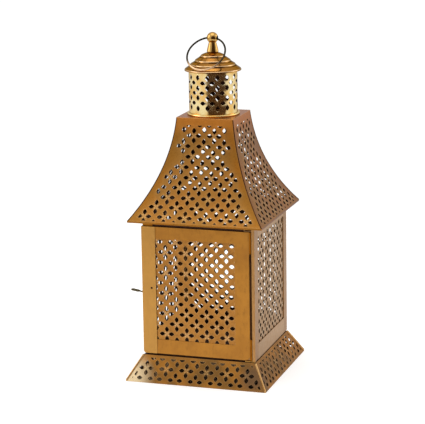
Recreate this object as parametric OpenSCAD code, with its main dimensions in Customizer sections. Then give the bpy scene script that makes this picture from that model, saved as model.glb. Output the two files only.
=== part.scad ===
// Square lantern of perforated sheet metal, with a hinged door, a turning wire latch and a carrying ring.
// +Z is up, the front (door) faces -Y, and the origin is the centre of the footprint.

/* [Body] */
// Width of the square body across its walls
body_w = 128; // [120:1:136]
// Height of the walls, from their lower edge to the eave
wall_h = 149.4; // [145:0.5:160]
// Width of the plain strips at the body's corners
corner_w = 12.5; // [10:0.5:14]
// Height of the plain rail at the foot of each wall
rail_h = 17.5; // [14:0.5:20]
// Height of the plain rail at the top of each wall
top_rail_h = 12.9; // [10:0.1:16]
// Thickness of the folded sheet
sheet = 0.8; // [0.7:0.05:0.9]
// Thickness of the perforated sheets and the door's sheets
thin = 0.6; // [0.5:0.05:0.6]

/* [Base] */
// Width of the base on the ground
base_w = 160; // [150:1:170]
// Height of the sloping skirt
base_h = 27.2; // [24:0.2:32]
// Height of the shadow gap between the base and the walls
base_gap = 1.3; // [1.2:0.1:2]

/* [Roof] */
// Width of the eave
eave_w = 151.4; // [140:0.2:158]
// Width of the roof at its top
roof_top_w = 64.2; // [62:0.2:70]
// Height of the roof from the eave to the top plate
roof_h = 109.8; // [100:0.2:120]
// Radius of the panels' outward curve
roof_r = 206; // [180:1:260]
// Height of the folded lip under the eave
lip_h = 1.6; // [1:0.1:3]

/* [Chimney and cap] */
// Radius of the chimney
chimney_r = 26.5; // [26:0.1:27]
// Height of the chimney
chimney_h = 48.9; // [44:0.1:56]
// Radius of the cap's rim
cap_r = 31; // [30.5:0.1:32]

/* [Finial and ring] */
// Radius of the finial's ball
ball_r = 6.2; // [5.8:0.1:6.4]
// Height of the ball's centre over the cap's flat top
ball_rise = 15.9; // [15:0.1:18]
// Radius of the ring's centre line
ring_r = 21.6; // [21:0.1:22]
// How far the ring has slipped round through the ball, in degrees
ring_slip = -3.2; // [-4:0.1:4]
// Radius of the ring's wire
ring_wire_r = 1; // [0.8:0.1:1.1]
// Lean of the ring from hanging straight down, in degrees
ring_lean = 44; // [43.9:0.1:60]
// Turn of the ring's axle about the vertical, in degrees
ring_turn = -6; // [-20:1:20]

/* [Door] */
// Width of the left stile
stile_w = 15.8; // [14:0.1:17]
// Distance from the hinge rod's axis to the body's right face
hinge_inset = 4.9; // [4.7:0.1:5.5]
// Length of each of the two door knuckles
knuckle_h = 23.6; // [18:0.1:30]
// Height of the latch over the ground
latch_z = 97.5; // [85:0.5:115]

/* [Perforation] */
// Distance between four-petal flowers along a row
pitch = 23; // [21:0.1:26]
// Length of a petal
petal_l = 6.4; // [5:0.1:6.8]
// Width of a petal
petal_w = 4.3; // [3:0.1:4.6]

/* [Hidden] */
$fn = 48;

// Which way each side faces, as a turn about the vertical from the front
FRONT = 0;
RIGHT = 90;
BACK = 180;
LEFT = 270;

half = body_w / 2;
left_inset = 1;                       // the left wall steps in, under the door's folded edge
base_half = base_w / 2;
base_slope = (base_half - half) / base_h;
skirt_flat = sheet * sqrt(1 + base_slope * base_slope);   // the skirt's thickness, measured level
eave_half = eave_w / 2;
roof_top_half = roof_top_w / 2;
wall_z0 = base_h + base_gap;
wall_z1 = wall_z0 + wall_h;           // the eave's lower edge
roof_z0 = wall_z1 + lip_h;
roof_z1 = wall_z1 + roof_h - sheet;   // underside of the top plate
chimney_z0 = roof_z1 + sheet;
cap_z = chimney_z0 + chimney_h;       // level of the chimney's top edge, under the cap

// Perforation
petal_out = 0.228 * pitch;            // from a flower's centre to a petal's centre

// Layers of the front, counted back from the body's front face
door_y0 = -half;
frame_y0 = door_y0 + thin;
mesh_y0 = frame_y0 + thin;
door_y1 = mesh_y0 + thin;
stop_y0 = door_y1 + 0.3;              // front of the fixed frame behind the door
door_z0 = wall_z0 + 0.8;
door_z1 = wall_z1 - 5.7;

// Door openings and edges
window_x0 = -half + stile_w;
window_x1 = 41.5;
window_z0 = door_z0 + 16.2;
window_z1 = door_z1 - 13.4;
frame_lap = 7.5;                      // how far the perforated sheet runs under the frame
hinge_x = half - hinge_inset;
hinge_y = frame_y0 + thin / 2;
knuckle_r = 1.2;
rod_r = 0.6;
running_gap = 0.05;
frame_x1 = hinge_x - knuckle_r;
strip_y0 = hinge_y + knuckle_r + 0.3; // front of the fixed strip behind the hinge
flange_depth = 7.4;                   // the folded edge of the left stile
latch_y = door_y0 + 4.2;
latch_r = 0.9;
finger_x = -half + 5.5;
finger_l = 6.8;
eyelet_r = 1.6;
notch_h = 5;                          // in the front left post, where the latch passes

// Cap, from its rim to the flat under the finial
cap_top = cap_z + 18.4;
cap_seat = 2.4;                       // how far the chimney reaches up inside the cap
cap_edge_r = 1.5;                     // rounding of each ring's outer edge
dome_r = 25.4;
dome_foot_r = 13.5;
finial_foot_r = 6.4;
shank_r = 2;
ball_z = cap_top + ball_rise;
ball_hole_r = 2.5;

// A petal's outline, pointed at both ends
petal = let (w = petal_w / 2, l = petal_l / 2)
    [[0, -l], [w, -0.25 * l], [w, 0.25 * l], [0, l], [-w, 0.25 * l], [-w, -0.25 * l]];

function arc(cx, cy, r, a0, a1, n) =
    [for (i = [0:n]) [cx + r * cos(a0 + (a1 - a0) * i / n), cy + r * sin(a0 + (a1 - a0) * i / n)]];

// Four petals around a centre. kz shortens them upwards on a sheet that slopes away.
module flower(x, z, kz = 1) {
    for (a = [0:90:270])
        polygon([for (p = petal) let (u = p[0], v = p[1] + petal_out)
            [x + u * cos(a) - v * sin(a), z + kz * (u * sin(a) + v * cos(a))]]);
}

// A staggered field of flowers, counted from a plain row's flower at x and z, cut off at the box lo to hi.
module flower_field(x, z, lo, hi) {
    rows = ceil((hi[1] - z) / (pitch / 2));
    cols = ceil((hi[0] - lo[0]) / pitch);
    reach = petal_out - petal_l / 2;
    intersection() {
        translate(lo)
            square(hi - lo);
        for (row = [-1:rows])
            for (col = [-cols:cols]) {
                fx = x + pitch * (col + (row % 2 == 0 ? 0.5 : 0));
                fz = z + row * pitch / 2;
                if (fx > lo[0] - reach && fx < hi[0] + reach && fz > lo[1] - reach && fz < hi[1] + reach)
                    flower(fx, fz);
            }
    }
}

// Turns a piece that was drawn for the front to another side.
module side(turn) {
    rotate([0, 0, turn])
        children();
}

// Stands a drawing in the X-Z plane and thickens it backwards from y.
module upright(y, depth) {
    translate([0, y + depth, 0])
        rotate([90, 0, 0])
            linear_extrude(height = depth)
                children();
}

// Pulls a section, drawn as distance out from the axis against height, along the front side, and
// cuts both ends to the mitre at the corners.
module mitred_front(reach, z0, z1) {
    intersection() {
        rotate([90, 0, -90])
            linear_extrude(height = 2 * reach + 2, center = true)
                children();
        translate([0, 0, z0 - 1])
            linear_extrude(height = z1 - z0 + 2)
                polygon([[0, 0], [-reach - 2, -reach - 2], [reach + 2, -reach - 2]]);
    }
}

// ---- Base ----

module base_skirt(turn) {
    kz = 1 / sqrt(1 + base_slope * base_slope);
    rim = 2.6;
    mid_z = base_h / 2 + 0.7;
    shift = -1;
    edge = base_half - rim * base_slope - 4.5;
    top_edge = edge - base_slope * (base_h - 2 * rim);
    color("darkgoldenrod")
        side(turn)
            difference() {
                mitred_front(base_half, 0, base_h)
                    polygon([[base_half, 0], [half, base_h], [half - skirt_flat, base_h],
                        [base_half - skirt_flat, 0]]);
                upright(-base_half - 1, base_half - half + 6)
                    intersection() {
                        polygon([[-edge, rim], [edge, rim], [top_edge, base_h - rim],
                            [-top_edge, base_h - rim]]);
                        union() {
                            for (col = [-2.5:2.5])
                                flower(shift + col * pitch, mid_z, kz);
                            for (col = [-3:3])
                                for (up = [-1, 1])
                                    flower(shift + col * pitch, mid_z + up * kz * pitch / 2, kz);
                        }
                    }
            }
}

// Everything under the outer slope of one side of the skirt
module under_slope(turn) {
    side(turn)
        rotate([90, 0, -90])
            linear_extrude(height = 2 * base_w, center = true)
                polygon([[-base_w, -1], [base_half + base_slope, -1], [half - base_slope, base_h + 1],
                    [-base_w, base_h + 1]]);
}

// A rounded strip folded over each corner of the skirt
module base_hip_strips() {
    strip_r = 1.1;
    run = (base_half - half) * sqrt(2);
    lean = atan2(run, base_h);
    color("peru")
        for (turn = [FRONT, RIGHT, BACK, LEFT])
            side(turn)
                difference() {
                    intersection() {
                        translate([base_half, -base_half, 0])
                            rotate([0, lean, 135])
                                translate([0, 0, -3])
                                    cylinder(r = strip_r, h = 6 + sqrt(run * run + base_h * base_h));
                        translate([0, -base_half, 0])
                            cube([base_half, base_half, base_h]);
                    }
                    intersection() {
                        under_slope(FRONT);
                        under_slope(RIGHT);
                    }
                }
}

// A thin sheet that closes the base just over the ground, inside the skirt
module base_bottom_sheet() {
    z0 = 1;
    w = base_half - skirt_flat - base_slope * z0;
    color("saddlebrown")
        translate([0, 0, z0])
            linear_extrude(height = thin, scale = (w - base_slope * thin) / w)
                square(2 * w, center = true);
}

module base_top_plate() {
    w = half - sheet - 0.2;
    color("saddlebrown")
        translate([-w, -w, base_h - sheet])
            cube([2 * w, 2 * w, sheet]);
}

// A shallow tray: the candle stands in it, and the walls are fixed round its rim.
module floor_tray() {
    x0 = -half + left_inset + sheet + thin;
    x1 = half - sheet - thin;
    y0 = strip_y0 + thin;
    rim = 6;
    color("saddlebrown")
        difference() {
            translate([x0, y0, base_h])
                cube([x1 - x0, x1 - y0, rim]);
            translate([x0 + sheet, y0 + sheet, base_h + sheet])
                cube([x1 - x0 - 2 * sheet, x1 - y0 - 2 * sheet, rim]);
        }
}

// ---- Body ----

module post(points, z0 = wall_z0) {
    color("peru")
        translate([0, 0, z0])
            linear_extrude(height = wall_z1 - z0)
                polygon(points);
}

module post_back_right() {
    i = half - sheet;
    c = half - corner_w;
    post([[half, half], [c, half], [c, i], [i, i], [i, c], [half, c]]);
}

module post_back_left() {
    o = -half + left_inset;
    i = half - sheet;
    c = half - corner_w;
    post([[o, half], [-c, half], [-c, i], [o + sheet, i], [o + sheet, c], [o, c]]);
}

// The strip behind the hinge closes the slit beside the door.
module post_front_right() {
    i = half - sheet;
    c = half - corner_w;
    f = hinge_x + knuckle_r + 0.3;
    b = -strip_y0;
    post([[half, -half], [f, -half], [f, -i], [i, -i], [i, -b], [c, -b], [c, thin - b], [i, thin - b],
        [i, -c], [half, -c]], wall_z0 + 0.3);
}

module post_front_left() {
    o = -half + left_inset;
    c = -half + corner_w;
    difference() {
        post([[o, stop_y0], [c, stop_y0], [c, stop_y0 + thin], [o + sheet, stop_y0 + thin],
            [o + sheet, c], [o, c]]);
        translate([o - 1, stop_y0 - 1, latch_z - notch_h / 2])
            cube([finger_x - o + 3.5, latch_y - stop_y0 + 3.2, notch_h]);
    }
}

module wall_rail(turn, face, z0, height) {
    c = half - corner_w;
    color("peru")
        side(turn)
            translate([-c, -face, z0])
                cube([2 * c, sheet, height]);
}

module top_rail(turn, face) {
    wall_rail(turn, face, wall_z1 - top_rail_h, top_rail_h);
}

// The pattern is cut where it falls, so each sheet has its own offset, in x and z.
module wall_mesh(turn, face, offset = [0, 0]) {
    w = half - 8;
    margin = 1;
    hidden = 6;
    color("rosybrown")
        side(turn)
            upright(-face + sheet, thin)
                difference() {
                    translate([-w, wall_z0])
                        square([2 * w, wall_h]);
                    flower_field(offset[0], wall_z0 + rail_h + 6.2 + offset[1],
                        [-w + margin, wall_z0 + rail_h - hidden],
                        [w - margin, wall_z1 - top_rail_h + hidden]);
                }
}

// Behind the door's top edge, up to the ledge
module lintel() {
    w = half - corner_w;
    z0 = door_z1 - 5.4;
    color("saddlebrown")
        translate([-w, stop_y0, z0])
            cube([2 * w, sheet, wall_z1 - z0]);
}

// ---- Hinge ----

module hinge_rod() {
    color("dimgray")
        translate([hinge_x, hinge_y, wall_z0 - 0.3])
            cylinder(r = rod_r, h = door_z1 - wall_z0 + 1.7);
}

module rod_bracket(x1, z, y1) {
    x0 = hinge_x - 6.6;
    color("peru")
        difference() {
            translate([x0, hinge_y - knuckle_r, z])
                cube([x1 - x0, y1 - hinge_y + knuckle_r, thin]);
            translate([hinge_x, hinge_y, z - 1])
                cylinder(r = rod_r, h = thin + 2);
        }
}

module hinge_foot_bracket() {
    rod_bracket(half, wall_z0 - 0.3, strip_y0 + thin);
}

module hinge_head_bracket() {
    rod_bracket(hinge_x + knuckle_r + 0.3, door_z1 + 0.8, strip_y0);
}

module door_knuckle(z) {
    color("goldenrod")
        difference() {
            translate([hinge_x, hinge_y, z])
                cylinder(r = knuckle_r, h = knuckle_h);
            translate([hinge_x, hinge_y, z - 1])
                cylinder(r = rod_r + running_gap, h = knuckle_h + 2);
        }
}

module door_knuckle_top() {
    door_knuckle(door_z1 - 0.2 - knuckle_h);
}

module door_knuckle_bottom() {
    door_knuckle(door_z0 + 0.2);
}

// ---- Door ----

module door_frame() {
    x0 = window_x0 - frame_lap;
    chamfer = 3.5;
    color("goldenrod")
        upright(frame_y0, thin)
            difference() {
                polygon([[x0, door_z0], [frame_x1 - chamfer, door_z0], [frame_x1, door_z0 + chamfer],
                    [frame_x1, door_z1], [x0, door_z1]]);
                translate([x0 - 1, window_z0])
                    square([window_x1 - x0 + 1, window_z1 - window_z0]);
            }
}

module door_left_stile() {
    corner_r = 3;
    color("goldenrod")
        difference() {
            union() {
                upright(door_y0, thin)
                    difference() {
                        translate([-half, door_z0])
                            square([stile_w, door_z1 - door_z0]);
                        difference() {
                            translate([-half - 1, door_z0 - 1])
                                square(corner_r + 1);
                            translate([-half + corner_r, door_z0 + corner_r])
                                circle(r = corner_r);
                        }
                    }
                translate([-half, door_y0, door_z0 + corner_r])
                    cube([thin, flange_depth, door_z1 - door_z0 - corner_r]);
            }
            translate([-half - 1, latch_y, latch_z])
                rotate([0, 90, 0])
                    cylinder(r = eyelet_r, h = thin + 2);
            rivet_hole();
        }
}

module rivet_hole(r = 0.8) {
    translate([window_x0 - 5.1, door_y0 - 1, latch_z + 6])
        rotate([-90, 0, 0])
            cylinder(r = r, h = 4);
}

module door_mesh() {
    x0 = window_x0 - frame_lap;
    x1 = window_x1 + frame_lap;
    z0 = window_z0 - frame_lap;
    z1 = window_z1 + frame_lap;
    color("goldenrod")
        difference() {
            upright(mesh_y0, thin)
                difference() {
                    translate([x0, z0])
                        square([x1 - x0, z1 - z0]);
                    flower_field(-2.5, window_z0 + 6.7, [x0 + 2, z0 + 2], [x1 - 2, z1 - 2]);
                }
            rivet_hole();
        }
}

module stile_rivet() {
    x = window_x0 - 5.1;
    z = latch_z + 6;
    color("goldenrod") {
        translate([x, door_y0, z])
            rotate([-90, 0, 0])
                cylinder(r = 0.8, h = 3 * thin);
        translate([x, door_y0 - 0.4, z])
            rotate([-90, 0, 0])
                cylinder(r1 = 0.9, r2 = 1.2, h = 0.4);
    }
}

// ---- Latch ----

module latch_eyelet() {
    color("goldenrod")
        translate([-half - 1, latch_y, latch_z])
            rotate([0, 90, 0])
                difference() {
                    cylinder(r = eyelet_r, h = 1 + thin + 0.3);
                    translate([0, 0, -1])
                        cylinder(r = latch_r + running_gap, h = 4);
                }
}

// A bent wire: a finger inside the body, a shaft through the eyelet and a flat loop as its handle.
module latch_wire() {
    shaft_x0 = -half - 2.2;
    arm_l = 5;
    loop_l = 5;
    loop_r = 2;
    wire_r = 0.75;
    bend_r = 1.5;
    arm_r = 0.82;
    rise = 9;
    color("darkolivegreen")
        translate([0, latch_y, latch_z]) {
            translate([shaft_x0, 0, 0])
                rotate([0, 90, 0])
                    cylinder(r = latch_r, h = finger_x - bend_r - shaft_x0);
            translate([finger_x - bend_r, bend_r, 0])
                rotate([0, 0, -90])
                    rotate_extrude(angle = 90)
                        translate([bend_r, 0])
                            circle(r = latch_r);
            translate([finger_x, bend_r, 0])
                rotate([-90, 0, 0])
                    cylinder(r = latch_r, h = finger_l - bend_r);
            translate([shaft_x0 + 0.2, 0, 0])
                rotate([0, rise - 90, 0]) {
                    cylinder(r = arm_r, h = arm_l);
                    translate([0, 0, arm_l + loop_l / 2])
                        rotate([0, 90, 0])
                            stadium_loop(loop_l, loop_r, wire_r);
                }
        }
}

module stadium_loop(length, r, wire_r) {
    for (end = [-1, 1]) {
        translate([end * length / 2, 0, 0])
            rotate([0, 0, end * 90 - 180])
                rotate_extrude(angle = 180)
                    translate([r, 0])
                        circle(r = wire_r);
        translate([-length / 2, end * r, 0])
            rotate([0, 90, 0])
                cylinder(r = wire_r, h = length);
    }
}

// ---- Roof ----

// Centre of the panels' curve, as distance out from the axis and height
roof_run = eave_half - roof_top_half;
roof_drop = roof_z1 - roof_z0;
roof_chord = sqrt(roof_run * roof_run + roof_drop * roof_drop);
roof_out = sqrt(roof_r * roof_r - roof_chord * roof_chord / 4) / roof_chord;
roof_cw = (eave_half + roof_top_half) / 2 + roof_out * roof_drop;
roof_cz = (roof_z0 + roof_z1) / 2 + roof_out * roof_run;
hip_margin = 6.6;                     // plain strip along each corner of the roof

// Slope from the vertical at a height, and half the roof's width there
function roof_angle(z) = asin((roof_cz - z) / roof_r);
function roof_half_at(z) = roof_cw - roof_r * cos(roof_angle(z));
function roof_z_at(angle) = roof_cz - roof_r * sin(angle);

module roof_section() {
    intersection() {
        translate([roof_cw, roof_cz])
            difference() {
                circle(r = roof_r + sheet, $fn = 360);
                circle(r = roof_r, $fn = 360);
            }
        translate([roof_top_half / 2, roof_z0])
            square([eave_half, roof_z1 - roof_z0]);
    }
    translate([eave_half - sheet, wall_z1])
        square([sheet, lip_h]);
}

module roof_flowers() {
    eave_angle = roof_angle(roof_z0);
    step = pitch / 2 / roof_r * 180 / PI;
    first = 7.2 / roof_r * 180 / PI;
    for (row = [-1:9]) {
        angle = eave_angle - first - row * step;
        z = roof_z_at(angle);
        for (col = [-3:3]) {
            x = pitch * (col + (row % 2 == 0 ? 0.5 : 0));
            if (abs(x) < roof_half_at(z) - hip_margin)
                flower(x, z, cos(angle));
        }
    }
}

// The part of a panel, seen from the front, that is perforated: the hips and both edges stay plain.
module roof_window() {
    steps = 12;
    z0 = roof_z0 + 1.6;
    z1 = roof_z1 - 8.2;
    edge = [for (i = [0:steps]) let (z = z0 + (z1 - z0) * i / steps, s = sin(roof_angle(z)))
        [roof_half_at(z) - hip_margin * sqrt(1 + s * s), z]];
    polygon(concat(edge, [for (i = [0:steps]) let (p = edge[steps - i]) [-p[0], p[1]]]));
}

module roof_panel(turn) {
    color("goldenrod")
        side(turn)
            difference() {
                mitred_front(eave_half, wall_z1, roof_z1)
                    roof_section();
                upright(-eave_half - 1, eave_half - roof_top_half + 6)
                    intersection() {
                        roof_window();
                        roof_flowers();
                    }
            }
}

module square_ring(outer, inner, z, height) {
    translate([0, 0, z])
        difference() {
            translate([-outer, -outer, 0])
                cube([2 * outer, 2 * outer, height]);
            translate([-inner, -inner, -1])
                cube([2 * inner, 2 * inner, height + 2]);
        }
}

module roof_ledge() {
    color("saddlebrown")
        square_ring(eave_half - sheet, half - 8, wall_z1, sheet);
}

module roof_top_plate() {
    w = roof_top_half + 0.3;
    color("goldenrod")
        translate([0, 0, roof_z1])
            difference() {
                translate([-w, -w, 0])
                    cube([2 * w, 2 * w, sheet]);
                translate([0, 0, -1])
                    cylinder(r = chimney_r - 2, h = sheet + 2);
            }
}

// ---- Chimney, cap, finial and ring ----

module chimney_collar() {
    bead_r = 1.2;
    color("gold")
        translate([0, 0, chimney_z0])
            rotate_extrude() {
                translate([chimney_r, 0])
                    square([bead_r, 2 * bead_r]);
                translate([chimney_r + bead_r, bead_r])
                    circle(r = bead_r, $fn = 24);
            }
}

// A rolled tube: the perforation stops short of a plain lapped seam at the back.
module chimney() {
    columns = 14;
    column_step = 24.5;
    first_turn = 3.6;
    row_pitch = 22;
    row_z = chimney_z0 + 26;
    plain_foot = 5.9;
    plain_top = 2.8;
    color("gold")
        difference() {
            translate([0, 0, chimney_z0])
                difference() {
                    cylinder(r = chimney_r, h = chimney_h + cap_seat, $fn = 96);
                    translate([0, 0, -1])
                        cylinder(r = chimney_r - 0.7, h = chimney_h + cap_seat + 2, $fn = 96);
                }
            for (col = [-7:6])
                rotate([0, 0, first_turn + col * column_step])
                    upright(-chimney_r - 1, 8)
                        intersection() {
                            translate([-pitch / 2, chimney_z0 + plain_foot])
                                square([pitch, chimney_h - plain_foot - plain_top]);
                            union()
                                for (row = [-1:1])
                                    flower(0, row_z + row_pitch * (row + (col % 2 == 0 ? 0.5 : 0)), 1);
                        }
        }
}

// One ring of the cap: up its rounded outer edge at r0, up the slope to r1, and down into the groove.
function cap_ring(r0, z0, r1, z1) = concat(
    cap_edge(r0, z0),
    [[r1, cap_z + z1], [r1 - 0.4, cap_z + z1 - 0.4]]
);

function cap_edge(r, z) = arc(r - cap_edge_r, cap_z + z, cap_edge_r, 0, 55, 5);

// The cap's outline from the rim inwards: three stepped rings and a dome.
cap_outline = let (dome_z = cap_top - sqrt(dome_r * dome_r - finial_foot_r * finial_foot_r))
    concat(
        [[cap_r, cap_z - 0.7]],
        cap_ring(cap_r, 0, 25.4, 4.7),
        cap_ring(24.9, 5.3, 20.2, 8.9),
        cap_ring(19.6, 9.6, 14.1, 14),
        cap_edge(dome_foot_r, 14.5),
        arc(0, dome_z, dome_r, 60.5, acos(finial_foot_r / dome_r), 8)
    );

module cap() {
    color("darkgoldenrod")
        rotate_extrude($fn = 96)
            difference() {
                polygon(concat(cap_outline, [[shank_r, cap_top], [shank_r, cap_z - 1.6]]));
                translate([-sheet, -sheet - 0.1])
                    polygon(concat([[cap_r, cap_z - 3]], cap_outline, [[0, cap_top], [0, cap_z - 3]]));
            }
}

// A bell that swells towards its foot, with a rounded lip.
module finial_profile() {
    neck_r = 3.9;
    neck_z = ball_z - 4.4;
    lip_z = cap_top + 1.2;
    steps = 10;
    polygon(concat(
        [[0, cap_top], [finial_foot_r - 0.7, cap_top], [finial_foot_r - 0.2, cap_top + 0.4]],
        [for (i = [0:steps]) let (t = i / steps)
            [neck_r + (finial_foot_r - neck_r) * (1 - pow(t, 1.2)), lip_z + t * (neck_z - lip_z)]],
        [[0, neck_z]]));
}

module finial() {
    color("goldenrod")
        difference() {
            union() {
                rotate_extrude()
                    finial_profile();
                translate([0, 0, ball_z])
                    sphere(r = ball_r);
                translate([0, 0, cap_top - 4.4])
                    cylinder(r = shank_r, h = 5);
            }
            translate([0, 0, ball_z])
                rotate([0, 90, ring_turn])
                    cylinder(r = ball_hole_r, h = 3 * ball_r, center = true);
        }
}

module finial_nut() {
    color("dimgray")
        translate([0, 0, cap_top - 1 - 2.4])
            difference() {
                cylinder(r = 3.6, h = 2.4, $fn = 6);
                translate([0, 0, -1])
                    cylinder(r = shank_r, h = 5);
            }
}

module ring() {
    color("dimgray")
        translate([0, 0, ball_z])
            rotate([90 - ring_lean, 0, ring_turn])
                rotate([0, 0, ring_slip])
                    translate([0, -ring_r, 0])
                        rotate_extrude($fn = 96)
                            translate([ring_r, 0])
                                circle(r = ring_wire_r, $fn = 32);
}

base_skirt(FRONT);  // base_skirt_front
base_skirt(RIGHT);  // base_skirt_right
base_skirt(BACK);  // base_skirt_back
base_skirt(LEFT);  // base_skirt_left
base_hip_strips();
base_bottom_sheet();
base_top_plate();
floor_tray();
post_front_left();
post_front_right();
post_back_right();
post_back_left();
wall_rail(RIGHT, half, wall_z0, rail_h);  // bottom_rail_right
wall_rail(BACK, half, wall_z0, rail_h);  // bottom_rail_back
wall_rail(LEFT, half - left_inset, wall_z0, rail_h);  // bottom_rail_left
top_rail(RIGHT, half);  // top_rail_right
top_rail(BACK, half);  // top_rail_back
top_rail(LEFT, half - left_inset);  // top_rail_left
lintel();
wall_mesh(RIGHT, half);  // wall_mesh_right
wall_mesh(BACK, half, [8.7, -0.2]);  // wall_mesh_back
wall_mesh(LEFT, half - left_inset, [3.3, 2.6]);  // wall_mesh_left
hinge_rod();
hinge_foot_bracket();
hinge_head_bracket();
door_frame();
door_left_stile();
door_mesh();
door_knuckle_top();
door_knuckle_bottom();
stile_rivet();
latch_eyelet();
latch_wire();
roof_ledge();
roof_panel(FRONT);  // roof_panel_front
roof_panel(RIGHT);  // roof_panel_right
roof_panel(BACK);  // roof_panel_back
roof_panel(LEFT);  // roof_panel_left
roof_top_plate();
chimney_collar();
chimney();
cap();
finial();
finial_nut();
ring();
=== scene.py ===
import math

import bmesh
import bpy
from mathutils import Matrix, Vector
from mathutils.geometry import delaunay_2d_cdt


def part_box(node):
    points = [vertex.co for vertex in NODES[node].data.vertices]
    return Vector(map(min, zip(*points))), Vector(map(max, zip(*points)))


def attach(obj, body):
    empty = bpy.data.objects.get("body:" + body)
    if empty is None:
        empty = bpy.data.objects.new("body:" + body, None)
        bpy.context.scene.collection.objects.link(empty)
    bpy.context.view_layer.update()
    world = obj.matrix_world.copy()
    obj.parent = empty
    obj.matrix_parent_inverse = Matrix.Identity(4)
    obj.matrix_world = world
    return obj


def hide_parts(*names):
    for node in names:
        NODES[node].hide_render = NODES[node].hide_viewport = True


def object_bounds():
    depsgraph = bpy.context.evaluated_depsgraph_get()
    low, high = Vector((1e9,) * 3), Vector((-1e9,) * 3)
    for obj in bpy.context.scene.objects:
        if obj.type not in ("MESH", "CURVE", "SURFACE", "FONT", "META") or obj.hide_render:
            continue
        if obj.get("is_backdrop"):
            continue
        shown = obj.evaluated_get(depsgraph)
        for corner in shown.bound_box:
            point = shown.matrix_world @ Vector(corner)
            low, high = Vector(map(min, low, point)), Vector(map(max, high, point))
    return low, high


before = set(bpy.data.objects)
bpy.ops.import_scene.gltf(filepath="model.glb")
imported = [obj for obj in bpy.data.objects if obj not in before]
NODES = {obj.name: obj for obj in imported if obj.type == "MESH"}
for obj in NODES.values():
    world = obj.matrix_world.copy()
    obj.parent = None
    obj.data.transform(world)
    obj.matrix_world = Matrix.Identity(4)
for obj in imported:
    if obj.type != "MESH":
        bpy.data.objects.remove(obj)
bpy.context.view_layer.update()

MM = 0.001

# ---------------------------------------------------------------- materials


class Nodes:
    """A material's node tree, with short calls for what the metals below use."""

    def __init__(self, name):
        self.material = bpy.data.materials.new(name)
        self.material.use_nodes = True
        self.tree = self.material.node_tree
        self.shader = self.tree.nodes["Principled BSDF"]
        self.coords = self.add("ShaderNodeTexCoord").outputs["Object"]

    def add(self, kind, **settings):
        node = self.tree.nodes.new(kind)
        for key, value in settings.items():
            setattr(node, key, value)
        return node

    def link(self, source, target):
        self.tree.links.new(source, target)

    def noise(self, scale, detail=3.0, rough=0.55, stretch=(1, 1, 1)):
        mapping = self.add("ShaderNodeMapping")
        mapping.inputs["Scale"].default_value = stretch
        self.link(self.coords, mapping.inputs["Vector"])
        node = self.add("ShaderNodeTexNoise")
        node.inputs["Scale"].default_value = scale
        node.inputs["Detail"].default_value = detail
        node.inputs["Roughness"].default_value = rough
        self.link(mapping.outputs["Vector"], node.inputs["Vector"])
        return node.outputs["Fac"]

    def span(self, value, low, high, to_low=0.0, to_high=1.0):
        node = self.add("ShaderNodeMapRange")
        node.interpolation_type = "SMOOTHSTEP"
        for key, number in (("From Min", low), ("From Max", high), ("To Min", to_low), ("To Max", to_high)):
            node.inputs[key].default_value = number
        self.link(value, node.inputs["Value"])
        return node.outputs["Result"]

    def mix(self, factor, first, second):
        node = self.add("ShaderNodeMix", data_type="RGBA")
        self.link(factor, node.inputs[0])
        for socket, value in ((node.inputs[6], first), (node.inputs[7], second)):
            if isinstance(value, tuple):
                socket.default_value = (*value, 1.0)
            else:
                self.link(value, socket)
        return node.outputs[2]

    def calc(self, operation, first, second=None, clamp=False):
        node = self.add("ShaderNodeMath", operation=operation, use_clamp=clamp)
        self.link(first, node.inputs[0])
        if isinstance(second, bpy.types.NodeSocket):
            self.link(second, node.inputs[1])
        elif second is not None:
            node.inputs[1].default_value = second
        return node.outputs[0]

    def height(self):
        split = self.add("ShaderNodeSeparateXYZ")
        self.link(self.coords, split.inputs["Vector"])
        return split.outputs["Z"]

    def attribute(self, name):
        return self.add("ShaderNodeAttribute", attribute_name=name).outputs["Fac"]

    def bump(self, height, strength, distance, normal=None):
        node = self.add("ShaderNodeBump")
        node.inputs["Strength"].default_value = strength
        node.inputs["Distance"].default_value = distance
        self.link(height, node.inputs["Height"])
        if normal is not None:
            self.link(normal, node.inputs["Normal"])
        return node.outputs["Normal"]


SPECK_SCALE, GRAIN_SCALE = 420.0, 2600.0            # noise scales of the small specks and the finest grain
WAVE_DEEP, SPECK_DEEP, GRAIN_DEEP = 0.0016, 0.00012, 0.00003     # bump distances in metres


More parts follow.
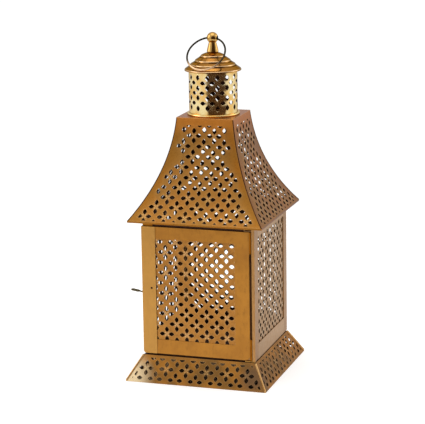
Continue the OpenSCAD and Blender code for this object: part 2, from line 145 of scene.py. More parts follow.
def metal(name, base, tint, dark, worn_and_lit, rough=0.34, spread=0.1, metallic=1.0, wave=0.25, grain=0.25,
          blotch=40.0, stretch=(1, 1, 1), edge=(0.62, 0.55, 0.50), lighter_below_z=None, bands=(), spots=()):
    """Aged metal: wide blotches and small specks in colour, gloss and bump. Where the mesh's per-point
    attribute is high, on rounded edges, petal rims and pressed crosses, the colour turns lighter: rubbed
    metal and a painted highlight.
    The lighter colour also covers everything below the first of two given heights and fades out up to the
    second.
    A band is (height, reach, colour, share) and a spot (centre, reach, colour, share). These are tints at
    fixed
    places: painted highlights, painted reflections and painted shade."""
    n = Nodes(name)
    wide = n.noise(blotch, 2.5)
    small = n.noise(SPECK_SCALE, 3.0, 0.6, stretch)
    fine = n.noise(GRAIN_SCALE, 1.0)
    wear_and_highlight = n.attribute("wear_and_highlight")
    grime = n.attribute("grime")
    colour = n.mix(n.span(wide, 0.36, 0.66), base, tint)
    colour = n.mix(n.span(small, 0.52, 0.78, 0.0, 0.55), colour, dark)
    colour = n.mix(n.span(grime, 0.0, 1.0, 0.0, 0.8), colour, dark)
    colour = n.mix(n.span(wear_and_highlight, 0.0, 1.0, 0.0, 0.85), colour, worn_and_lit)
    if lighter_below_z:
        colour = n.mix(n.span(n.height(), *lighter_below_z, 0.9, 0.0), colour, worn_and_lit)
    for z, reach, shade, amount in bands:
        away = n.calc("ABSOLUTE", n.calc("SUBTRACT", n.height(), z))
        colour = n.mix(n.span(away, 0.0, reach, amount, 0.0), colour, shade)
    for centre, reach, shade, amount in spots:
        away = n.add("ShaderNodeVectorMath", operation="DISTANCE")
        n.link(n.coords, away.inputs[0])
        away.inputs[1].default_value = centre
        colour = n.mix(n.span(away.outputs["Value"], reach / 4, reach, amount, 0.0), colour, shade)
    n.link(colour, n.shader.inputs["Base Color"])
    gloss = n.calc("ADD", n.span(small, 0.3, 0.75, rough - spread / 2, rough + spread / 2),
                   n.span(grime, 0.0, 1.0, 0.0, 0.2), clamp=True)
    n.link(gloss, n.shader.inputs["Roughness"])
    n.shader.inputs["Metallic"].default_value = metallic
    n.shader.inputs["Specular Tint"].default_value = (*edge, 1.0)
    bumped = n.bump(wide, wave, WAVE_DEEP)
    bumped = n.bump(small, grain, SPECK_DEEP, bumped)
    bumped = n.bump(fine, grain * 0.6, GRAIN_DEEP, bumped)
    n.link(bumped, n.shader.inputs["Normal"])
    return n.material


def cap_light_bands():
    """Painted light on the cap: a painted highlight along each ring's outer edge and painted shade in the
    grooves between the rings.
    """
    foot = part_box("cap")[0][2] + 0.7 * MM
    bright, dark = (1.0, 0.80, 0.52), (0.07, 0.025, 0.008)
    edges = [(foot + h * MM, 0.8 * MM, bright, 0.45) for h in (0.7, 6.0, 10.3, 15.2)]
    grooves = [(foot + h * MM, 0.55 * MM, dark, 0.9) for h in (4.5, 8.7, 13.8)]
    return edges + grooves


# Colours in the order base, tint, dark, and the lighter colour of rubbed edges and painted highlights.
# Front, side, posts, roof and base each have a colour of their own. GOLD and STILE, PERF and SIDE, GOLD and
# POST, BASE and HIP are each one brass, with the light and shade that falls on their pieces painted in.
UPRIGHT = (1, 1, 0.35)             # specks drawn out along the posts
GOLD = metal("antique_gold", (0.270, 0.087, 0.006), (0.330, 0.117, 0.009), (0.17, 0.052, 0.004),
             (0.76, 0.45, 0.13), edge=(0.52, 0.60, 0.62), stretch=UPRIGHT, wave=0.4)
# STILE: a darker copy of GOLD for the door's folded stile, painted shade.
STILE = metal("stile_gold", (0.225, 0.068, 0.004), (0.27, 0.090, 0.005), (0.15, 0.044, 0.003),
              (0.76, 0.45, 0.13), edge=(0.50, 0.55, 0.52), stretch=UPRIGHT, wave=0.4)
PERF = metal("perforated_gold", (0.37, 0.150, 0.022), (0.32, 0.122, 0.014), (0.18, 0.070, 0.009),
             (0.72, 0.50, 0.26), rough=0.36)
# SIDE: the door sheet's brass, greyer and pinker, with the light on the side and back walls painted in.
SIDE = metal("perforated_side", (0.33, 0.155, 0.055), (0.29, 0.140, 0.055), (0.16, 0.08, 0.030),
             (0.66, 0.52, 0.38), rough=0.36, edge=(0.74, 0.78, 0.74))
# ROOF's band at 0.287 m, a lighter orange along the top of the panels, is a painted highlight.
ROOF = metal("roof_gold", (0.35, 0.135, 0.018), (0.31, 0.135, 0.022), (0.17, 0.064, 0.010),
             (0.70, 0.47, 0.21), rough=0.36, edge=(0.47, 0.60, 0.78),
             bands=[(0.287, 0.022, (0.62, 0.22, 0.035), 0.7)])
# BASE's spots: a cream painted highlight at the front left end and a dark painted reflection at the front
# right corner.
BASE = metal("base_gold", (0.35, 0.135, 0.016), (0.17, 0.074, 0.014), (0.06, 0.028, 0.008),
             (0.66, 0.42, 0.18), rough=0.25, wave=0.7, edge=(0.68, 0.66, 0.66),
             spots=[((-0.080, -0.078, 0.004), 0.036, (1.0, 0.80, 0.50), 0.75),
                    ((0.066, -0.072, 0.012), 0.024, (0.14, 0.085, 0.050), 0.7)])
# POST: GOLD's brass, lighter and greyer, with the light on the side and back posts and rails painted in.
POST = metal("grey_gold", (0.40, 0.20, 0.065), (0.36, 0.185, 0.065), (0.20, 0.09, 0.03), (0.78, 0.55, 0.30),
             edge=(0.60, 0.68, 0.76), stretch=UPRIGHT)
# HIP: the base's brass made lighter, a painted highlight along the base's folded corners.
HIP = metal("folded_corner", (0.40, 0.19, 0.040), (0.32, 0.14, 0.030), (0.18, 0.07, 0.02),
            (0.9, 0.66, 0.34), rough=0.28)
BRASS = metal("polished_brass", (0.90, 0.74, 0.38), (0.84, 0.52, 0.15), (0.62, 0.34, 0.09), (1.0, 0.88, 0.62),
              rough=0.15, spread=0.05, wave=0.45, grain=0.08, blotch=70.0)
TURNED = metal("turned_brass", (0.56, 0.34, 0.105), (0.50, 0.29, 0.085), (0.34, 0.17, 0.04),
               (0.9, 0.66, 0.32), rough=0.15, spread=0.05, wave=0.05, grain=0.06)
# CAP's bands are painted highlights on the rings' outer edges and painted shade in the grooves.
CAP = metal("cap_gold", (0.42, 0.195, 0.042), (0.38, 0.165, 0.035), (0.10, 0.035, 0.010), (1.0, 0.80, 0.52),
            rough=0.17, spread=0.05, wave=0.1, grain=0.1, stretch=(1, 1, 6), edge=(0.42, 0.42, 0.38),
            bands=cap_light_bands())
WIRE = metal("dark_wire", (0.085, 0.070, 0.040), (0.13, 0.10, 0.050), (0.03, 0.025, 0.015),
             (0.40, 0.30, 0.15), rough=0.26, grain=0.2)
# RING turns lighter below 0.339 m and has its dark colour again above 0.350 m.
RING = metal("ring_wire", (0.026, 0.022, 0.015), (0.05, 0.040, 0.024), (0.012, 0.010, 0.007),
             (0.95, 0.62, 0.36), rough=0.24, grain=0.2, edge=(0.30, 0.29, 0.25), lighter_below_z=(0.339, 0.350))
# SHADE is painted shade: the near-black brown of the sheets' backs and of the pieces inside, which stand in
# shadow.
SHADE = metal("inner_sheet", (0.050, 0.016, 0.007), (0.065, 0.022, 0.009), (0.028, 0.009, 0.004),
              (0.09, 0.035, 0.014), rough=0.6, metallic=0.5)
# DOOR_BACK: a darker brass for the back of the door sheet, painted shade.
DOOR_BACK = metal("door_back", (0.15, 0.058, 0.014), (0.17, 0.066, 0.016), (0.08, 0.030, 0.008),
                  (0.3, 0.15, 0.05), rough=0.5)
SEAM = metal("dark_seam", (0.055, 0.022, 0.010), (0.09, 0.036, 0.014), (0.03, 0.012, 0.006),
             (0.4, 0.22, 0.09), rough=0.5, edge=(0.3, 0.3, 0.3))

# ---------------------------------------------------------------- pieces


def link_piece(name, mesh, materials, body, slot, *nodes):
    """A new object for a mesh, which stands for the CAD nodes named."""
    piece = bpy.data.objects.new(name, mesh)
    bpy.context.scene.collection.objects.link(piece)
    for material in materials:
        mesh.materials.append(material)
    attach(piece, body)
    if nodes:
        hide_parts(*nodes)
    return piece


def smooth_mesh(mesh, degrees):
    for face in mesh.polygons:
        face.use_smooth = True
    mesh.set_sharp_from_angle(angle=math.radians(degrees))


def soften(node, name, material, body, slot, width=0.18, wear_and_highlight=0.6, segments=2):
    """The CAD node as a sheet part with rounded edges, lighter in colour along them: rubbed metal and a
    painted highlight.
    """
    bm = bmesh.new()
    bm.from_mesh(NODES[node].data)
    bmesh.ops.remove_doubles(bm, verts=bm.verts, dist=1e-6)
    bmesh.ops.dissolve_limit(bm, angle_limit=math.radians(1), verts=bm.verts, edges=bm.edges)
    layer = bm.verts.layers.float.new("wear_and_highlight")
    edges = [e for e in bm.edges if len(e.link_faces) == 2 and e.calc_face_angle(0) > math.radians(35)]
    made = bmesh.ops.bevel(bm, geom=edges, offset=width * MM, offset_type="OFFSET", segments=segments,
                           profile=0.5, affect="EDGES", clamp_overlap=True)
    for face in made["faces"]:
        for vert in face.verts:
            vert[layer] = wear_and_highlight
    bmesh.ops.triangulate(bm, faces=[f for f in bm.faces if len(f.verts) > 4])
    mesh = bpy.data.meshes.new(name)
    bm.to_mesh(mesh)
    bm.free()
    smooth_mesh(mesh, 60)
    piece = link_piece(name, mesh, [material], body, slot, node)
    piece.modifiers.new("flat_faces", "WEIGHTED_NORMAL").keep_sharp = True
    return piece


# ---------------------------------------------------------------- perforated sheets

# Lengths below are in millimetres. A flower is four almond petals round a point, on a staggered field.
PITCH = 23.0
PETAL_OUT = 0.228 * PITCH          # from a flower's centre to a petal's centre
PETAL_L, PETAL_W = 3.3, 2.22       # half a petal's length and width
RIM = 0.55                         # width of a petal's raised rim
RIM_UP, RIM_FOOT = 0.10, 0.02      # height of the rim at the hole and where it ends
MERGE = 0.12                       # points nearer than this are one
SMALLEST = 0.9                     # a cut petal with less area than this is left out
CROSS_NEAR, CROSS_FAR = 1.55, 3.1  # ridge points of the cross between four petals
WALL_THICK, PANEL_THICK, TUBE_THICK = 0.25, 0.35, 0.4
PETAL = [(0, -1), (0.60, -0.62), (1, -0.22), (1, 0.22), (0.60, 0.62),
         (0, 1), (-0.60, 0.62), (-1, 0.22), (-1, -0.22), (-0.60, -0.62)]


def clip(points, normal, offset):
    """The part of a convex outline where normal . p >= offset."""
    kept = []
    for i, p in enumerate(points):
        q = points[(i + 1) % len(points)]
        a = p[0] * normal[0] + p[1] * normal[1] - offset
        b = q[0] * normal[0] + q[1] * normal[1] - offset
        if a >= 0:
            kept.append(p)
        if (a >= 0) != (b >= 0):
            t = a / (a - b)
            kept.append((p[0] + t * (q[0] - p[0]), p[1] + t * (q[1] - p[1])))
    return kept


def area(points):
    return sum(p[0] * q[1] - q[0] * p[1] for p, q in zip(points, points[1:] + points[:1])) / 2


def thinned(points):
    """The outline without points that all but coincide."""
    kept = []
    for p in points:
        if not kept or math.dist(p, kept[-1]) > MERGE:
            kept.append(p)
    while len(kept) > 1 and math.dist(kept[0], kept[-1]) <= MERGE:
        kept.pop()
    return kept


def grown(points, by):
    """A convex outline pushed outwards."""
    out = []
    count = len(points)
    for i in range(count):
        p, q, r = points[i - 1], points[i], points[(i + 1) % count]
        n1 = Vector((q[1] - p[1], p[0] - q[0])).normalized()
        n2 = Vector((r[1] - q[1], q[0] - r[0])).normalized()
        n = n1 + n2
        n = n.normalized() if n.length > 1e-6 else n1
        reach = min(1 / max(n.dot(n1), 0.55), 1.6)
        out.append((q[0] + n.x * by * reach, q[1] + n.y * by * reach))
    return out


def petals_of(flowers, limits):
    """Each flower's petals, cut off by the limits, a function of a centre that gives half-planes."""
    found = []
    for x, z, kz in flowers:
        for turn in range(4):
            c, s = ((1, 0), (0, 1), (-1, 0), (0, -1))[turn]
            points = []
            for a, b in PETAL:
                u, v = a * PETAL_W, b * PETAL_L + PETAL_OUT
                points.append((x + u * c - v * s, z + kz * (u * s + v * c)))
            for normal, offset in limits(x - s * PETAL_OUT, z + kz * c * PETAL_OUT):
                points = clip(points, normal, offset)
                if not points:
                    break
            points = thinned(points)
            if len(points) > 2 and area(points) > SMALLEST:
                found.append(points)
    return found


def perforated(name, outline, flowers, limits, place, thick, ridge=0.22, extra=()):
    """A sheet cut from an outline with a field of flowers, laid on a surface by place(u, v, height).
    The metal between four whole petals is pressed up into a cross, and each petal has a raised rim.
    Cross and rims are lighter in colour, rubbed metal and a painted highlight.
    Material 0 is the front, 1 the back and the edges."""
    verts, edges, faces, height, wear_and_highlight = [], [], [], [], []

    def push(point, up, worn_and_lit):
        verts.append(Vector(point))
        height.append(up)
        wear_and_highlight.append(worn_and_lit)
        return len(verts) - 1

    loop = [push(p, 0.0, 0.25) for p in outline]
    faces.append(loop)
    petals = petals_of(flowers, limits)
    centres = [(sum(p[0] for p in ps) / len(ps), sum(p[1] for p in ps) / len(ps)) for ps in petals]
    for ps in petals:
        hole = [push(p, RIM_UP, 0.5) for p in ps]
        faces.append(hole)
        rim = [push(p, RIM_FOOT, 0.18) for p in grown(ps, RIM)]
        edges += [(rim[i], rim[(i + 1) % len(rim)]) for i in range(len(rim))]
    for x, z, kz in flowers:
        near = [c for c in centres if math.dist(c, (x, z)) < PETAL_OUT + 1.5]
        if len(near) < 4:
            continue
        push((x, z), ridge, 0.9)
        for sx in (-1, 1):
            for sz in (-1, 1):
                push((x + sx * CROSS_NEAR, z + kz * sz * CROSS_NEAR), ridge * 1.1, 0.9)
                push((x + sx * CROSS_FAR, z + kz * sz * CROSS_FAR), ridge * 0.5, 0.35)
    for p in extra:
        push(p, 0.0, 0.0)
    points, _, tris, from_verts, _, from_faces = delaunay_2d_cdt(verts, edges, faces, 0, 1e-4, True)
    kept = [t for t, o in zip(tris, from_faces) if 0 in o and all(i == 0 for i in o)]
    up = [max([height[i] for i in o], default=RIM_FOOT) for o in from_verts]
    worn_and_lit = [max([wear_and_highlight[i] for i in o], default=0.2) for o in from_verts]
    count = len(points)
    coords = [place(p.x, p.y, h) for p, h in zip(points, up)]
    coords += [place(p.x, p.y, -thick) for p in points]
    polys = [tuple(t) for t in kept] + [tuple(i + count for i in reversed(t)) for t in kept]
    kinds = [0] * len(kept) + [1] * len(kept)
    sides = dict.fromkeys((t[i], t[(i + 1) % 3]) for t in kept for i in range(3))
    for a, b in sides:
        if (b, a) not in sides:
            polys.append((b, a, a + count, b + count))
            kinds.append(1)
    mesh = bpy.data.meshes.new(name)
    mesh.from_pydata([Vector(c) * MM for c in coords], [], polys)
    used = bmesh.new()
    used.from_mesh(mesh)
    layer = used.verts.layers.float.new("wear_and_highlight")
    for v, w in zip(used.verts, worn_and_lit + [0.3] * count):
        v[layer] = w
    for f, kind in zip(used.faces, kinds):
        f.material_index = kind
    bmesh.ops.delete(used, geom=[v for v in used.verts if not v.link_faces], context="VERTS")
    used.to_mesh(mesh)
    used.free()
    mesh.validate()
    smooth_mesh(mesh, 50)
    return mesh


def turned(place, side):
    """The same placing on another side: 0 front, 1 right, 2 back, 3 left."""
    spin = Matrix.Rotation(side * math.pi / 2, 3, "Z")
    return lambda u, v, h: spin @ Vector(place(u, v, h))


def lattice(x, z, lo, hi):
    """Centres of a staggered field, from the row at z upwards."""
    out = []
    reach = PETAL_OUT - PETAL_L
    for row in range(-1, math.ceil((hi[1] - z) / (PITCH / 2)) + 1):
        cols = math.ceil((hi[0] - lo[0]) / PITCH)
        for col in range(-cols, cols + 1):
            fx = x + PITCH * (col + (0.5 if row % 2 == 0 else 0))
            fz = z + row * PITCH / 2
            if lo[0] - reach < fx < hi[0] + reach and lo[1] - reach < fz < hi[1] + reach:
                out.append((fx, fz, 1.0))
    return out


def box_limits(lo, hi):
    planes = [((1, 0), lo[0]), ((-1, 0), -hi[0]), ((0, 1), lo[1]), ((0, -1), -hi[1])]
    return lambda x, z: planes


def box_mm(node):
    low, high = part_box(node)
    return [c / MM for c in low], [c / MM for c in high]


def rectangle(x0, z0, x1, z1):
    return [(x0, z0), (x1, z0), (x1, z1), (x0, z1)]


# Walls
post_low, post_high = box_mm("post_back_right")
HALF = post_high[0]
WALL_Z0, WALL_Z1 = post_low[2], post_high[2]
rail_top = box_mm("bottom_rail_right")[1][2]
top_rail_foot = box_mm("top_rail_right")[0][2]
wall_w = HALF - 8                  # half the sheet's width, behind the posts
ROW_UP = 6.2                       # first row of flowers above the bottom rail
# Each wall's pattern has an offset. The back's and left's decide where light shows through the door.
for side, label, shift in ((1, "right", (0, 0)), (2, "back", (7.4, 0.3)), (3, "left", (3.3, 2.6))):
    low, high = box_mm(f"wall_mesh_{label}")
    outer = {1: high[0], 2: high[1], 3: -low[0]}[side]
    lo, hi = (-wall_w + 1, rail_top - 6), (wall_w - 1, top_rail_foot + 6)
    mesh = perforated(f"wall_sheet_{label}", rectangle(-wall_w, WALL_Z0, wall_w, WALL_Z1),
                      lattice(shift[0], rail_top + ROW_UP + shift[1], lo, hi), box_limits(lo, hi),
                      turned(lambda u, v, h, o=outer: (u, -o - h, v), side), WALL_THICK)
    link_piece(f"wall_sheet_{label}", mesh, [SIDE, SHADE], "lantern_body", "perforated_gold",
               f"wall_mesh_{label}")

# Door sheet
low, high = box_mm("door_mesh")
DOOR_MARGIN = 2                    # plain strip round the door's pattern
DOOR_FLOWER = (-2.5, low[2] + 14.2)
lo, hi = (low[0] + DOOR_MARGIN, low[2] + DOOR_MARGIN), (high[0] - DOOR_MARGIN, high[2] - DOOR_MARGIN)
mesh = perforated("door_sheet", rectangle(low[0], low[2], high[0], high[2]),
                  lattice(*DOOR_FLOWER, lo, hi), box_limits(lo, hi),
                  lambda u, v, h: (u, low[1] - h, v), WALL_THICK)
link_piece("door_sheet", mesh, [PERF, DOOR_BACK], "door", "perforated_gold", "door_mesh")

# Base skirt
base_low, base_high = box_mm("base_skirt_front")
BASE_HALF, BASE_H = -base_low[1], base_high[2]
slope = (BASE_HALF - HALF) / BASE_H
fall = math.hypot(1, slope)


def skirt(u, v, h):
    """v is the height of the point on the outer face; u shrinks to the mitre on the inner face."""
    reach = BASE_HALF - slope * v
    if h > 0:
        return (u, -reach - h / fall, v + h * slope / fall)
    inner = reach + h * fall
    return (u * inner / reach, -inner, v)


base_rim, base_shift, base_mid = 2.6, -1.0, BASE_H / 2 + 0.7
base_margin = 4.5                  # plain strip along the corners
base_edge = BASE_HALF - base_rim * slope - base_margin
flowers = [(base_shift + PITCH * (col + 0.5), base_mid, 1 / fall) for col in range(-3, 3)]
flowers += [(base_shift + PITCH * col, base_mid + up * PITCH / 2 / fall, 1 / fall)
            for col in range(-3, 4) for up in (-1, 1)]
lean = Vector((1, slope)).normalized()
base_planes = [((0, 1), base_rim), ((0, -1), -(BASE_H - base_rim)),
               ((-lean.x, -lean.y), -lean.x * base_edge - lean.y * base_rim),
               ((lean.x, -lean.y), -lean.x * base_edge - lean.y * base_rim)]
for side, label in enumerate(("front", "right", "back", "left")):
    outline = [(-BASE_HALF, 0), (BASE_HALF, 0), (HALF, BASE_H), (-HALF, BASE_H)]
    mesh = perforated(f"skirt_{label}", outline, flowers, lambda x, z: base_planes,
                      turned(skirt, side), PANEL_THICK, ridge=0.2)
    link_piece(f"skirt_{label}", mesh, [BASE, SHADE], "lantern_body", "base_gold", f"base_skirt_{label}")

# Roof panels
roof_low, roof_high = box_mm("roof_panel_front")
EAVE_HALF = -roof_low[1]
TOP_HALF = box_mm("roof_top_plate")[1][0] - 0.3
ROOF_Z1 = roof_high[2]
ROOF_Z0 = roof_low[2] + 1.6
ROOF_R = 206.0                     # radius of the panel's curve
run, drop = EAVE_HALF - TOP_HALF, ROOF_Z1 - ROOF_Z0
chord = math.hypot(run, drop)
out = math.sqrt(ROOF_R ** 2 - chord ** 2 / 4) / chord
ROOF_CW = (EAVE_HALF + TOP_HALF) / 2 + out * drop
ROOF_CZ = (ROOF_Z0 + ROOF_Z1) / 2 + out * run


def roof_angle(z):
    return math.asin((ROOF_CZ - z) / ROOF_R)


EAVE_ANGLE = roof_angle(ROOF_Z0)
ARC = ROOF_R * (EAVE_ANGLE - roof_angle(ROOF_Z1))


def roof_half(v):
    return ROOF_CW - ROOF_R * math.cos(EAVE_ANGLE - v / ROOF_R)


def roof_place(u, v, h):
    angle = EAVE_ANGLE - v / ROOF_R
    reach = ROOF_CW - ROOF_R * math.cos(angle)
    inner = reach + min(h, 0) * math.cos(angle)
    radius = ROOF_R - h
    return (u * inner / reach, -(ROOF_CW - radius * math.cos(angle)), ROOF_CZ - radius * math.sin(angle))


hip_margin = 6.6
roof_row, roof_rim, roof_top = 7.2, 1.9, 7.2     # first row, and plain strips at the eave and the top
flowers = []
for row in range(-1, 10):
    v = roof_row + row * PITCH / 2
    for col in range(-3, 4):
        x = PITCH * (col + (0.5 if row % 2 == 0 else 0))
        if v < ARC and abs(x) < roof_half(max(v, 0)) - hip_margin:
            flowers.append((x, v, 1.0))


def roof_limits(x, v):
    """The plain strips along both hips follow the panel's edge near the petal."""
    grow = (roof_half(v + 1) - roof_half(v - 1)) / 2
    side = Vector((1, -grow)).normalized()
    edge = roof_half(v) * side.x + v * side.y - hip_margin
    return [((0, 1), roof_rim), ((0, -1), -(ARC - roof_top)), ((-side.x, -side.y), -edge),
            ((side.x, -side.y), -edge)]


steps = 28
rising = [(roof_half(ARC * i / steps), ARC * i / steps) for i in range(steps + 1)]
outline = rising + [(-w, v) for w, v in reversed(rising)]
grid = []
for i in range(1, steps):
    v = ARC * i / steps
    w = roof_half(v) - 2.4
    grid += [(w, v), (-w, v)]
for i in range(-4, 5):
    x = i / 4 * (TOP_HALF - 4)
    grid += [(x, ARC - 3.5), (x, ARC - 6.8)]
for side, label in enumerate(("front", "right", "back", "left")):
    mesh = perforated(f"roof_sheet_{label}", outline, flowers, roof_limits,
                      turned(roof_place, side), PANEL_THICK, extra=grid)
    link_piece(f"roof_sheet_{label}", mesh, [ROOF, SHADE], "lantern_body", "roof_gold",
               f"roof_panel_{label}")


def swept(name, path, section, closed=False):
    """A section, as offsets along two given directions, swept along straight runs of points."""
    bm = bmesh.new()
    rings = []
    for centre, across, outwards in path:
        rings.append([bm.verts.new((Vector(centre) + a * Vector(across) + b * Vector(outwards)) * MM)
                      for a, b in section])
    count = len(section)
    pairs = list(zip(rings, rings[1:])) + ([(rings[-1], rings[0])] if closed else [])
    for first, second in pairs:
        for i in range(count):
            j = (i + 1) % count
            bm.faces.new((first[i], first[j], second[j], second[i]))
    if not closed:
        bm.faces.new(list(reversed(rings[0])))
        bm.faces.new(rings[-1])
    bmesh.ops.recalc_face_normals(bm, faces=bm.faces)
    mesh = bpy.data.meshes.new(name)
    bm.to_mesh(mesh)
    bm.free()
    smooth_mesh(mesh, 50)
    return mesh


def circle(radius, count):
    turns = [2 * math.pi * i / count for i in range(count)]
    return [(radius * math.cos(turn), radius * math.sin(turn)) for turn in turns]


# The folded lip under the eave, with a rolled lower edge
lip = [(0, 0.0), (0.05, 1.75), (-0.75, 1.75), (-0.75, 0.3), (-0.5, 0.02), (-0.2, -0.08)]
corners = [(-1, -1), (1, -1), (1, 1), (-1, 1)]
path = [((sx * EAVE_HALF, sy * EAVE_HALF, roof_low[2]), (sx, sy, 0), (0, 0, 1)) for sx, sy in corners]
mesh = swept("eave_lip", path, lip, closed=True)
link_piece("eave_lip", mesh, [ROOF], "lantern_body", "roof_gold")

# Seams on the roof's corners
SEAM_R, SEAM_SUNK = 0.62, 0.3
HALF_TURN = 0.7071                 # sine of 45 degrees
for i, (sx, sy) in enumerate(corners):
    path = []
    for k in range(steps + 1):
        w, v = rising[k]
        z = roof_place(0, v, 0)[2]
        path.append(((sx * (w - SEAM_SUNK), sy * (w - SEAM_SUNK), z),
                     (sx * HALF_TURN, -sy * HALF_TURN, 0), (sx * 0.5, sy * 0.5, HALF_TURN)))
    mesh = swept(f"roof_seam_{i}", path, circle(SEAM_R, 8))
    link_piece(f"roof_seam_{i}", mesh, [SEAM], "lantern_body", "roof_gold")

# Chimney
low, high = box_mm("chimney")
CHIMNEY_R, CH_Z0, CH_Z1 = high[0], low[2], high[2]


def tube(u, v, h):
    turn = u / CHIMNEY_R
    radius = CHIMNEY_R + h
    return (radius * math.sin(turn), -radius * math.cos(turn), v)


columns = 14
column_step, first_turn = 24.5, 3.6      # degrees between columns, and of the one nearest the front
row_step, first_row = 22, 26             # millimetres
girth = 2 * math.pi * CHIMNEY_R
column_width = math.radians(column_step) * CHIMNEY_R
first_u = math.radians(first_turn) * CHIMNEY_R
flowers = []
for col in range(-columns // 2, columns // 2):
    for row in (-1, 0, 1):
        stagger = 0.5 if col % 2 == 0 else 0
        flowers.append((first_u + col * column_width, CH_Z0 + first_row + row_step * (row + stagger), 1.0))
seam_u = first_u - columns / 2 * column_width - 0.5 * (girth - (columns - 1) * column_width)
chimney_planes = [((0, 1), CH_Z0 + 5.9), ((0, -1), -(CH_Z1 - 5.2))]
facets = 72
grid = []
for i in range(1, facets):
    u = seam_u + girth * i / facets
    grid += [(u, CH_Z0 + 1.2), (u, CH_Z0 + 3.6), (u, CH_Z1 - 1.2)]
outline = [(seam_u + girth * i / facets, CH_Z0) for i in range(facets + 1)]
outline += [(seam_u + girth * i / facets, CH_Z1) for i in range(facets, -1, -1)]
mesh = perforated("chimney_tube", outline, flowers, lambda x, z: chimney_planes, tube, TUBE_THICK,
                  ridge=0.12, extra=grid)
link_piece("chimney_tube", mesh, [BRASS, SHADE], "lantern_body", "polished_brass", "chimney")

# ---------------------------------------------------------------- folded sheet parts

for node, material in (("post_front_left", GOLD), ("post_front_right", POST), ("post_back_right", POST),
                       ("post_back_left", POST)):
    soften(node, "edge_" + node, material, "lantern_body", "antique_gold", 0.3, 0.1)
for label in ("right", "back", "left"):
    soften(f"bottom_rail_{label}", f"rail_bottom_{label}", POST, "lantern_body", "antique_gold", 0.2, 0.3)
    soften(f"top_rail_{label}", f"rail_top_{label}", POST, "lantern_body", "antique_gold", 0.2, 0.3)
# The lintel, floor pan, base deck and eave soffit stand in shadow and are coloured with painted shade.
soften("lintel", "lintel_strip", SHADE, "lantern_body", "inner_sheet")
soften("floor_tray", "floor_pan", SHADE, "lantern_body", "inner_sheet")
soften("base_bottom_sheet", "base_underside", BASE, "lantern_body", "inner_sheet")
soften("base_top_plate", "base_deck", SHADE, "lantern_body", "inner_sheet")
soften("roof_ledge", "eave_soffit", SHADE, "lantern_body", "inner_sheet")
soften("roof_top_plate", "roof_deck", ROOF, "lantern_body", "roof_gold", 0.25, 0.6)
soften("base_hip_strips", "base_corner_folds", HIP, "lantern_body", "base_gold", 0.15, 0.4)
soften("door_frame", "door_plate", GOLD, "door", "antique_gold", 0.15, 0.3)
soften("door_left_stile", "door_stile", STILE, "door", "antique_gold", 0.22, 0.5, 3)
soften("hinge_foot_bracket", "hinge_foot", GOLD, "lantern_body", "antique_gold", 0.12)
# The hinge head sits in the dark gap above the door; its dark colour is painted shade.
soften("hinge_head_bracket", "hinge_head", SEAM, "lantern_body", "antique_gold", 0.12)

# Turned and bent parts keep their CAD mesh
for node, material in (("cap", CAP), ("finial", TURNED), ("finial_nut", WIRE), ("chimney_collar", BRASS),
                       ("ring", RING), ("latch_wire", WIRE), ("latch_eyelet", GOLD), ("stile_rivet", SEAM),
                       ("hinge_rod", SEAM), ("door_knuckle_top", GOLD), ("door_knuckle_bottom", GOLD)):
    NODES[node].data.materials.clear()
    NODES[node].data.materials.append(material)

# ---------------------------------------------------------------- stage, light and camera


def direction(azimuth, elevation):
    """A unit vector towards an angle, in radians; azimuth 0 is the front, and it grows to the right."""
    return Vector((math.sin(azimuth) * math.cos(elevation), -math.cos(azimuth) * math.cos(elevation),
                   math.sin(elevation)))


def disc(name, radius, z, material):
    bm = bmesh.new()
    bmesh.ops.create_circle(bm, cap_ends=True, radius=radius, segments=96)
    mesh = bpy.data.meshes.new(name)
    bm.to_mesh(mesh)
    bm.free()
    mesh.materials.append(material)
    floor = bpy.data.objects.new(name, mesh)
    floor.location = (0, 0, z)
    bpy.context.scene.collection.objects.link(floor)
    floor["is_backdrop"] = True


# The floor glows a little, so that it comes out nearly white round the soft shadow
paper = bpy.data.materials.new("pale_floor")
paper.use_nodes = True
paper_shader = paper.node_tree.nodes["Principled BSDF"]
for key, value in (("Base Color", (0.7, 0.7, 0.7, 1)), ("Roughness", 0.9),
                   ("Emission Color", (1, 1, 1, 1)), ("Emission Strength", 0.45)):
    paper_shader.inputs[key].default_value = value
disc("floor", 0.8, -0.0002, paper)

# The camera sees white. Reflections see a slightly warm white, with a dark brown patch at the front right,
# which gives the polished chimney its dark middle.
DARK_AZ, DARK_EL = math.radians(33), math.radians(-6)
world = bpy.data.worlds.new("studio")
bpy.context.scene.world = world
world.use_nodes = True
wt = world.node_tree
for node in list(wt.nodes):
    wt.nodes.remove(node)
w_out = wt.nodes.new("ShaderNodeOutputWorld")
w_back = wt.nodes.new("ShaderNodeBackground")
w_white = wt.nodes.new("ShaderNodeBackground")
w_white.inputs["Color"].default_value = (1, 1, 1, 1)
w_white.inputs["Strength"].default_value = 1.05
w_mix = wt.nodes.new("ShaderNodeMixShader")
w_path = wt.nodes.new("ShaderNodeLightPath")
w_coord = wt.nodes.new("ShaderNodeTexCoord")
w_dot = wt.nodes.new("ShaderNodeVectorMath")
w_dot.operation = "DOT_PRODUCT"
w_dot.inputs[1].default_value = direction(DARK_AZ, DARK_EL)
w_map = wt.nodes.new("ShaderNodeMapRange")
w_map.interpolation_type = "SMOOTHSTEP"
for key, number in (("From Min", 0.60), ("From Max", 0.80), ("To Min", 0.0), ("To Max", 1.0)):
    w_map.inputs[key].default_value = number
w_tone = wt.nodes.new("ShaderNodeMix")
w_tone.data_type = "RGBA"
w_tone.inputs[6].default_value = (0.95, 0.935, 0.91, 1)
w_tone.inputs[7].default_value = (0.075, 0.042, 0.026, 1)
wt.links.new(w_coord.outputs["Generated"], w_dot.inputs[0])
wt.links.new(w_dot.outputs["Value"], w_map.inputs["Value"])
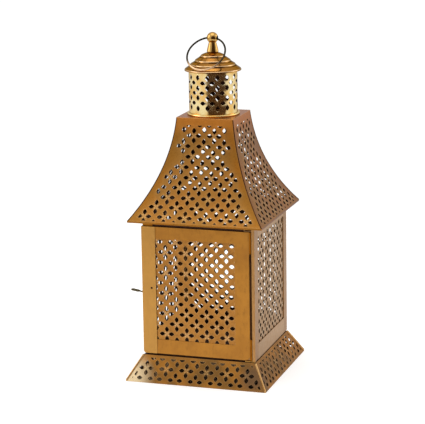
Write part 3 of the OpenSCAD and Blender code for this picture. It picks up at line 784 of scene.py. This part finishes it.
wt.links.new(w_map.outputs["Result"], w_tone.inputs[0])
wt.links.new(w_tone.outputs[2], w_back.inputs["Color"])
w_back.inputs["Strength"].default_value = 1.0
wt.links.new(w_path.outputs["Is Camera Ray"], w_mix.inputs[0])
wt.links.new(w_back.outputs[0], w_mix.inputs[1])
wt.links.new(w_white.outputs[0], w_mix.inputs[2])
wt.links.new(w_mix.outputs[0], w_out.inputs[0])


def softbox(name, azimuth, elevation, distance, size, power):
    back = direction(math.radians(azimuth), math.radians(elevation))
    data = bpy.data.lights.new(name, "AREA")
    data.shape = "RECTANGLE"
    data.size, data.size_y = size
    data.energy = power
    lamp = bpy.data.objects.new(name, data)
    lamp.location = LAMP_AIM + back * distance
    lamp.rotation_mode = "QUATERNION"
    lamp.rotation_quaternion = back.to_track_quat("Z", "Y")
    bpy.context.scene.collection.objects.link(lamp)


LAMP_AIM = Vector((0, 0, 0.2))
softbox("key_left", -68, 28, 1.3, (0.7, 1.0), 4.5)
softbox("fill_right", 122, 24, 1.4, (0.7, 1.0), 3)
softbox("top", 0, 82, 1.5, (1.2, 1.2), 6)

AZ, EL, ROLL = math.radians(17.86), math.radians(12.65), -0.0146
CAMERA_AIM, CAMERA_AWAY = Vector((0, 0, 0.1837)), 2.025
back = direction(AZ, EL)
right = Vector((math.cos(AZ), math.sin(AZ), 0))
up = back.cross(right)
cam_x = math.cos(ROLL) * right + math.sin(ROLL) * up
cam_y = -math.sin(ROLL) * right + math.cos(ROLL) * up
camera = bpy.data.objects.new("camera", bpy.data.cameras.new("camera"))
camera.data.lens = 155.2
camera.data.sensor_width = 36
camera.data.shift_x = -0.0057
camera.data.shift_y = -0.0134
camera.rotation_mode = "QUATERNION"
camera.rotation_quaternion = Matrix((cam_x, cam_y, back)).transposed().to_quaternion()
camera.location = CAMERA_AIM + back * CAMERA_AWAY
bpy.context.scene.collection.objects.link(camera)
bpy.context.scene.camera = camera
bpy.context.scene.view_settings.view_transform = "Standard"

low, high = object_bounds()
